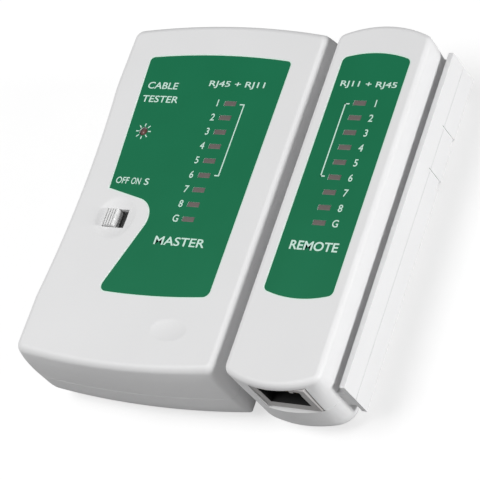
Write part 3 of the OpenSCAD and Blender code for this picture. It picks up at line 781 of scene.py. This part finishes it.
def master_label_points():
    top = arc_points(-22.65, 22.8, 41.75, 200, 1)
    bottom = arc_points(22.8, -12.1, -30.8, 200, -1)
    top[0] = (*top[0][:2], 1.5)
    top[-1] = (*top[-1][:2], 1.5)
    bottom[0] = (*bottom[0][:2], 2.0)
    bottom[-1] = (*bottom[-1][:2], 3.0)
    return top + bottom + [(-2.6, -4.6, 6.5), (-20.2, -0.65, 0.25)]


def remote_label_points():
    top = arc_points(-10.25, 10.25, 43.4, 30, 1, 13)
    bottom = arc_points(10.25, -10.25, -28.1, 30, -1, 13)
    for row in (top, bottom):
        row[0] = (*row[0][:2], 1.3)
        row[-1] = (*row[-1][:2], 1.3)
    return top + bottom


def slab(points, z, at, grow=0.0):
    bm = flat_shape(points, z[0], at, grow)
    made = bmesh.ops.extrude_face_region(bm, geom=bm.faces[:])["geom"]
    bmesh.ops.translate(
        bm, vec=(0, 0, (z[1] - z[0]) * MM),
        verts=[g for g in made if isinstance(g, bmesh.types.BMVert)]
    )
    bmesh.ops.recalc_face_normals(bm, faces=bm.faces)
    return bm


# %% [markdown]
# Now the four shells. Each takes its stack, its hollow and its openings in turn.

# %% Master front shell
grip_levels = (15.5, 17.5, 19.5, 21.4, 21.8, 22.2, 22.6, 23, 24, 24.8)
through_front, label_recess = (front_z - 4, front_z + 1), (front_z - 0.3, front_z + 1)
window_gap, label_gap = 0.1, 0.06
switch_at, switch_half = (-14.6, -9.0), (3.5, 2.7)
oval_at = (14.2, -39.25)
shell = skin(front_stack(master, levels=grip_levels), master_mid)
press_grip(shell)
switch_slot = [around(c, half) for c, half in zip(switch_at, switch_half)]
steps = openings(hollow_tool(master, master_mid, front_heights, left=left_room))
steps += slot_tools()
steps += openings(*[mouth_tool(jack, 1) for jack in master_jacks])
steps += openings(
    window_tool(master_lamp, master_mid, window_gap, through_front),
    rod_tool(power_lamp, 1.3, through_front, master_mid),
    spun_dish_tool(switch_at, 6.6, 0.6, master_mid),
    slab(master_label_points(), label_recess, master_mid, label_gap),
    box_tool(*switch_slot, through_front, master_mid),
    spun_dish_tool(oval_at, 3.3, 0.3, master_mid, stretch=1.75),
)
shell = cut(shell, steps)
master_front = finish_piece("master_front_skin", shell, [case_white])
seat(master_front, "master", "case_plastic", "master_front_shell")

# %% Master back shell and the door that slides out of it
door_x = (-23.0, 26.25)
bay_top = -20.2
tongue_out, door_gap = 1.2, 0.15


def door_tools(grow):
    y = (-past_end, bay_top + grow)
    outer_x = (door_x[0] - grow, door_x[1] + grow)
    tongue_x = (door_x[0] - tongue_out - grow, door_x[1] + tongue_out + grow)
    outer = box_tool(outer_x, y, (-1, 1 + grow), master_mid)
    tongue = box_tool(tongue_x, y, (1, 2 + grow), master_mid)
    return outer, tongue


steps = openings(hollow_tool(master, master_mid, back_heights, left=left_room))
steps += slot_tools()
steps += screw_steps(screw_places, master, master_mid)
steps += openings(*door_tools(door_gap))
steps += openings(*[mouth_tool(jack, 1) for jack in master_jacks])
steps += openings(box_tool((-6.3, 6.3), (-past_end, bay_top + 3.7), (2, 3.4), master_mid))
shell = cut(skin(back_stack(master), master_mid), steps)
master_back = finish_piece("master_back_skin", shell, [case_white])
seat(master_back, "master", "case_plastic", "master_back_shell")

# %% Battery door, with a ribbed patch for the thumb and a tab that hooks over the bay's wall
outer, tongue = door_tools(0.0)
shape = cut(outer, [("UNION", tongue), ("INTERSECT", skin(back_stack(master), master_mid))])
ribs = bmesh.new()
for i in range(6):
    add_box(ribs, (-9, 9), (-39 + i * 2, -38.2 + i * 2), (-1, 0.45), master_mid)
tab = box_tool((-6, 6), (bay_top - 3, bay_top - 0.2), (1.5, 3), master_mid)
hook = box_tool((-6, 6), (bay_top - 3, bay_top + 2.2), (2.2, 3), master_mid)
shape = cut(shape, openings(ribs) + [("UNION", tab), ("UNION", hook)])
door = finish_piece("battery_door_skin", shape, [door_white])
seat(door, "door", "door_plastic", "battery_door")

# %% Remote front shell
shell = skin(front_stack(remote, levels=(17, 20.5, 23.5)), remote_mid)
steps = openings(hollow_tool(remote, remote_mid, front_heights))
steps += rail_tools(1)
steps += openings(
    mouth_tool("remote_rj45_jack", -1), mouth_tool("remote_rj11_jack", 1),
    window_tool(remote_lamp, remote_mid, window_gap, through_front),
    slab(remote_label_points(), label_recess, remote_mid, label_gap),
)
remote_front = finish_piece("remote_front_skin", cut(shell, steps), [case_white])
seat(remote_front, "remote", "case_plastic", "remote_front_shell")

# %% Remote back shell
steps = openings(hollow_tool(remote, remote_mid, back_heights))
steps += rail_tools(-1)
steps += screw_steps(remote_screws, remote, remote_mid)
steps += openings(mouth_tool("remote_rj45_jack", -1), mouth_tool("remote_rj11_jack", 1))
shell = cut(skin(back_stack(remote), remote_mid), steps)
remote_back = finish_piece("remote_back_skin", shell, [case_white])
seat(remote_back, "remote", "case_plastic", "remote_back_shell")


# %% [markdown]
# ## Labels
# The film is a quarter of a millimetre thick. Its green is printed from behind, and a pale line
# runs round it where the print stops short of the edge: an inset gives that line its own faces.

# %% Labels with a pale edge line and windows for the lamps
film_t, edge_line = 0.25, 0.32
through_label = (label_z - 1, label_z + 1)


def make_label(name, points, at, first_lamp, extra, body, stands_for):
    film = slab(points, (label_z - film_t, label_z), at)
    top = [f for f in film.faces if f.normal.z > 0.9]
    ring = bmesh.ops.inset_region(
        film, faces=top, thickness=edge_line * MM, use_even_offset=True
    )["faces"]
    for f in film.faces:
        f.material_index = 1
    for f in [f for f in film.faces if f.normal.z > 0.9 and f not in set(ring)]:
        f.material_index = 0
    tools = openings(window_tool(first_lamp, at, 0.03, through_label)) + extra
    film = cut_keeping(film, tools)
    piece = finish_piece(name, film, [label_green, label_edge], weighted=False)
    return seat(piece, body, "label_film", stands_for)


def cut_keeping(bm, steps):
    for operation, tool in steps:
        for f in tool.faces:
            f.material_index = 1
    return cut(bm, steps)


hole = openings(rod_tool(power_lamp, 1.25, through_label, master_mid))
master_points, remote_points = master_label_points(), remote_label_points()
make_label(
    "master_label_film", master_points, master_mid, master_lamp, hole, "master", "master_label"
)
make_label(
    "remote_label_film", remote_points, remote_mid, remote_lamp, [], "remote", "remote_label"
)


# %% [markdown]
# ## Print
# Only generic words and numbers stand on the labels. A word is a text object, made a mesh and then
# fitted into the box that it fills on the label: left edge, right edge, foot and cap height.

# %% Words and numbers as thin raised ink
ink_top = label_z + 0.03
ink_t = 0.02


def add_word(bm, word, x, foot, height, at, weight=0.012):
    curve = bpy.data.curves.new("word", "FONT")
    curve.body = word
    curve.offset = weight
    curve.resolution_u = 4
    writer = bpy.data.objects.new("word", curve)
    bpy.context.scene.collection.objects.link(writer)
    bpy.context.view_layer.update()
    flat = bpy.data.meshes.new_from_object(
        writer.evaluated_get(bpy.context.evaluated_depsgraph_get())
    )
    bpy.data.objects.remove(writer)
    old = set(bm.verts)
    bm.from_mesh(flat)
    bpy.data.meshes.remove(flat)
    new = [v for v in bm.verts if v not in old]
    low = Vector((min(v.co.x for v in new), min(v.co.y for v in new)))
    high = Vector((max(v.co.x for v in new), max(v.co.y for v in new)))
    scale_y = height / (high.y - low.y)
    scale_x = (x[1] - x[0]) / (high.x - low.x) if x[1] is not None else scale_y * 0.92
    start = x[0] if x[1] is not None else x[0] - (high.x - low.x) * scale_x / 2
    for v in new:
        place = start + (v.co.x - low.x) * scale_x, foot + (v.co.y - low.y) * scale_y
        v.co = Vector((*place, ink_top)) * MM + at


def add_bar(bm, x, y, at):
    add_box(bm, x, y, (ink_top - ink_t, ink_top), at)


# %% The master's print
ink = bmesh.new()
add_word(ink, "CABLE", (-19.9, -10.2), 30.4, 2.1, master_mid)
add_word(ink, "TESTER", (-20.2, -8.5), 26.2, 2.1, master_mid)
add_word(ink, "OFF", (-18.65, -14.55), 1.15, 2.0, master_mid)
add_word(ink, "ON", (-13.75, -10.8), 1.15, 2.0, master_mid)
add_word(ink, "S", (-9.55, -8.1), 1.15, 2.0, master_mid)
add_word(ink, "RJ45 + RJ11", (-0.5, 16.85), 31.3, 2.3, master_mid)
add_word(ink, "MASTER", (0.3, 15.9), -15.8, 2.5, master_mid, weight=0.013)
for i, mark in enumerate("12345678G"):
    add_word(ink, mark, (4.3, None), master_lamp[1] - i * lamp_pitch - 1.0, 2.1, master_mid)
add_bar(ink, (12.45, 12.8), (5.05, 26.75), master_mid)
add_bar(ink, (11.3, 12.5), (26.4, 26.75), master_mid)
add_bar(ink, (11.3, 12.5), (5.05, 5.4), master_mid)
for i in range(8):
    dash = bmesh.new()
    add_box(dash, (1.5, 2.4), (-0.16, 0.16), (ink_top - ink_t, ink_top))
    bmesh.ops.rotate(dash, matrix=Matrix.Rotation(math.tau * i / 8, 3, "Z"), verts=dash.verts)
    bmesh.ops.translate(dash, vec=Vector((*power_lamp, 0)) * MM + master_mid, verts=dash.verts)
    part = bpy.data.meshes.new("dash")
    dash.to_mesh(part)
    dash.free()
    ink.from_mesh(part)
    bpy.data.meshes.remove(part)
seat(finish_piece("master_print", ink, [print_white], weighted=False), "master", "label_film")

# %% The remote's print
ink = bmesh.new()
add_word(ink, "RJ11 + RJ45", (-8.1, 8.4), 32.36, 2.2, remote_mid)
add_word(ink, "REMOTE", (-6.7, 7.2), -14.5, 2.6, remote_mid, weight=0.02)
for i, mark in enumerate("12345678G"):
    add_word(ink, mark, (4.1, None), remote_lamp[1] - i * lamp_pitch - 1.0, 2.1, remote_mid)
add_bar(ink, (-4.85, -4.5), (6.35, 27.9), remote_mid)
add_bar(ink, (-4.85, -3.5), (27.55, 27.9), remote_mid)
add_bar(ink, (-4.85, -3.5), (6.35, 6.7), remote_mid)
seat(finish_piece("remote_print", ink, [print_white], weighted=False), "remote", "label_film")


# %% [markdown]
# ## Lamps
# The lamps are diodes with a flat rectangular lens. A lens is a block with softened edges on a
# wider foot, with two wire legs down to the board. Nine of them stand in a row on each unit.

# %% Rows of rectangular lamps
board_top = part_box("master_board")[1].z / MM
flange_half, leg_half = (2.3, 1.2), 0.25


def make_lamps(name, first, at, body, stands_for):
    bm = bmesh.new()
    foot = label_z - 7.2
    for i in range(lamp_count):
        x, y = first[0], first[1] - i * lamp_pitch
        lens_z = (foot + 0.4, label_z - 0.04)
        add_box(bm, around(x, lamp_half[0]), around(y, lamp_half[1]), lens_z, at, 0.14, 3)
        add_box(
            bm, around(x, flange_half[0]), around(y, flange_half[1]), (foot, foot + 1), at, 0.2, 2
        )
        for side in (-1.27, 1.27):
            legs = around(x + side, leg_half), around(y, leg_half), (board_top, foot + 0.1)
            add_box(bm, *legs, at)
    return seat(finish_piece(name, bm, [lamp_lens]), body, "lamp", stands_for)


make_lamps("master_lamp_row", master_lamp, master_mid, "master", "master_lamps")
make_lamps("remote_lamp_row", remote_lamp, remote_mid, "remote", "remote_lamps")

# %% The round power lamp: half a profile, spun
bm = bmesh.new()
foot = label_z - 5
dome_r, rim_r = 1.2, 1.6
dome_z = label_z - dome_r
profile = [(0, foot), (rim_r, foot), (rim_r, foot + 0.9), (1.5, foot + 1), (dome_r, foot + 1)]
profile += [(dome_r, dome_z)]
profile += [
    (dome_r * math.cos(a), dome_z + dome_r * math.sin(a)) for a in (0.3, 0.6, 0.9, 1.2, 1.4)
]
profile += [(0, label_z)]
line = [bm.verts.new((x * MM, 0, z * MM)) for x, z in profile]
edges = [bm.edges.new(pair) for pair in zip(line, line[1:])]
bmesh.ops.spin(
    bm, geom=line + edges, cent=(0, 0, 0), axis=(0, 0, 1), angle=math.tau, steps=32, use_merge=True
)
bmesh.ops.translate(bm, vec=Vector((*power_lamp, 0)) * MM + master_mid, verts=bm.verts)
for side in (-0.9, 0.9):
    leg = around(power_lamp[0] + side, leg_half), around(power_lamp[1], leg_half)
    add_box(bm, *leg, (board_top, foot + 0.1), master_mid)
seat(finish_piece("power_lamp_lens", bm, [power_lens]), "master", "lamp", "power_lamp")


# %% [markdown]
# ## The switch knob
# The knob has ribs across its top for a fingertip. It stands on a flat slider that covers the slot
# from inside, and a socket under it takes the lever of the small switch on the board. The slider
# is coloured near black as painted shade, so the part of the slot that the knob leaves free looks
# like a deep shadowed opening.

# %% Knob with ribs
low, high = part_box("switch_knob")
knob_mid = middle("switch_knob")
knob_h = (high.y - low.y) / MM - 1.2
knob_foot, knob_top, slider_z = low.z / MM, high.z / MM, front_z - wall - 1.0
knob_half, slider_half, slider_t, stem_half, socket_half = 1.95, 5.15, 0.8, 1.8, 1.15
rib_pitch, groove_half, groove_deep = 0.78, 0.17, 0.35
bm = bmesh.new()
knob_y = around(0, knob_h / 2)
add_box(bm, around(0, knob_half), knob_y, (slider_z, knob_top), knob_mid, 0.22, 3)
grooves = bmesh.new()
for i in range(4):
    x = (i - 1.5) * rib_pitch
    groove_z = (knob_top - groove_deep, knob_top + 1)
    add_box(grooves, around(x, groove_half), (-5, 5), groove_z, knob_mid)
slider = bmesh.new()
slider_y = around(0, knob_h / 2 + 0.6)
add_box(slider, around(0, slider_half), slider_y, (slider_z, slider_z + slider_t), knob_mid)
# The slider's faces take the near-black finish: painted shade in the slot.
for f in slider.faces:
    f.material_index = 1
stem = bmesh.new()
stem_xy = around(0, stem_half)
add_box(stem, stem_xy, stem_xy, (knob_foot, slider_z + 0.2), knob_mid)
socket = bmesh.new()
socket_xy = around(0, socket_half)
add_box(socket, socket_xy, socket_xy, (knob_foot - 1, knob_foot + 2.1), knob_mid)
bm = cut(bm, [("DIFFERENCE", grooves), ("UNION", slider), ("UNION", stem), ("DIFFERENCE", socket)])
knob = finish_piece("switch_knob_ribbed", bm, [knob_white, slider_painted_shade])
seat(knob, "switch", "knob_plastic", "switch_knob")


# %% [markdown]
# ## Jacks
# A modular jack is a block with a keyed hollow: a wide part for the plug's body and a narrower one
# for its latch. The block's edges are bevelled first, then the hollow is cut. The faces of the
# hollow come from the cutters, so they can take a near-black finish: painted shade for the deep
# inside of the grey housing.

# %% Jack housings
plug_deep, plug_z = 14, (2.8, 9.7)
latch_half, latch_z = 3.1, (8, 10.8)
pocket_half, pocket_deep, pocket_z, pocket_in = 0.9, 5, (8.8, 10.4), 2.6


def make_jack(name, cavity, body, stands_for, out):
    low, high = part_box(stands_for)
    mid_x, face = (low.x + high.x) / 2 / MM, (high.y if out > 0 else low.y) / MM
    base = low.z / MM
    bm = bmesh.new()
    x, y, z = [(low[i] / MM, high[i] / MM) for i in range(3)]
    add_box(bm, x, y, z, round_edges=0.25, segments=3)
    near = face + out * 2
    y = sorted((face - out * plug_deep, near))
    pocket_y = sorted((face - out * pocket_deep, near))
    pocket_x = (high.x - low.x) / MM / 2 - pocket_in
    hollows = [(mid_x, cavity / 2, y, plug_z), (mid_x, latch_half, y, latch_z)]
    hollows += [(mid_x + side * pocket_x, pocket_half, pocket_y, pocket_z) for side in (-1, 1)]
    tools = [
        box_tool(around(x, half), y, (base + z[0], base + z[1]), Vector())
        for x, half, y, z in hollows
    ]
    # The hollow's faces take the near-black finish: painted shade.
    bm = cut_keeping(bm, openings(*tools))
    piece = finish_piece(name, bm, [jack_grey, jack_hollow_painted_shade])
    return seat(piece, body, "jack_plastic", stands_for)


make_jack("master_rj45_housing", 11.7, "master", "master_rj45_jack", 1)
make_jack("master_rj11_housing", 9.7, "master", "master_rj11_jack", 1)
make_jack("remote_rj45_housing", 11.7, "remote", "remote_rj45_jack", -1)
make_jack("remote_rj11_housing", 9.7, "remote", "remote_rj11_jack", 1)

# %% [markdown]
# ## Stage, light and camera
# The tester lies on its back on a pale table top. A broad soft light hangs above and a little to
# the left, so the front faces are even and the gap and the groove beside the rail stay dark. A
# smaller light stands low on the right and makes the right sides the brightest, and the near ends
# fall into shade. The floor is a mid grey, so that it throws little light back up, and a lift that
# only the camera's own rays see brings it to white in the picture.

# %% Floor
floor_paint = make_finish(
    "floor_paint", (0.40, 0.40, 0.40), (0.42, 0.42, 0.42), rough=(0.6, 0.7), grain=(200, 0.2),
    bump=0.01
)
tree = floor_paint.node_tree
paint = next(n for n in tree.nodes if n.type == "BSDF_PRINCIPLED")
paint.inputs["Emission Color"].default_value = (1, 1, 1, 1)
seen = tree.nodes.new("ShaderNodeLightPath")
lift = tree.nodes.new("ShaderNodeMath")
lift.operation = "MULTIPLY"
lift.inputs[1].default_value = 0.64
tree.links.new(seen.outputs["Is Camera Ray"], lift.inputs[0])
tree.links.new(lift.outputs["Value"], paint.inputs["Emission Strength"])
bm = bmesh.new()
bmesh.ops.create_grid(bm, x_segments=1, y_segments=1, size=3)
bmesh.ops.translate(bm, vec=(0, 0, -0.0002), verts=bm.verts)
floor = finish_piece("floor", bm, [floor_paint], weighted=False)

# %% Lights
world = bpy.data.worlds.new("studio")
bpy.context.scene.world = world
world.use_nodes = True
world.node_tree.nodes["Background"].inputs["Color"].default_value = (1.0, 1.0, 1.0, 1)
world.node_tree.nodes["Background"].inputs["Strength"].default_value = 0.20


def add_light(name, place, size, power):
    lamp = bpy.data.lights.new(name, "AREA")
    lamp.shape = "SQUARE"
    lamp.size = size
    lamp.energy = power
    holder = bpy.data.objects.new(name, lamp)
    holder.location = place
    holder.rotation_euler = (Vector((0, 0, 0)) - Vector(place)).to_track_quat("-Z", "Y").to_euler()
    bpy.context.scene.collection.objects.link(holder)
    return holder


add_light("side", (1.25, 0.02, 0.19), 0.34, 12.0)
add_light("top", (-0.45, -0.21, 1.16), 0.8, 11.5)

# %% Camera
bpy.context.scene.view_settings.view_transform = "Standard"
target = Vector((-0.8, -6.3, 13.0)) * MM
place = Vector((332.3, -232.8, 475.6)) * MM
up = Vector((-0.0673, 0.8761, 0.4774))
eye = bpy.data.cameras.new("camera")
eye.type = "PERSP"
eye.sensor_width = 36
eye.lens = 177.2
camera = bpy.data.objects.new("camera", eye)
bpy.context.scene.collection.objects.link(camera)
back = (place - target).normalized()
right = up.cross(back).normalized()
camera.matrix_world = Matrix.Translation(place) @ Matrix(
    (right, back.cross(right), back)
).transposed().to_4x4()
bpy.context.scene.camera = camera
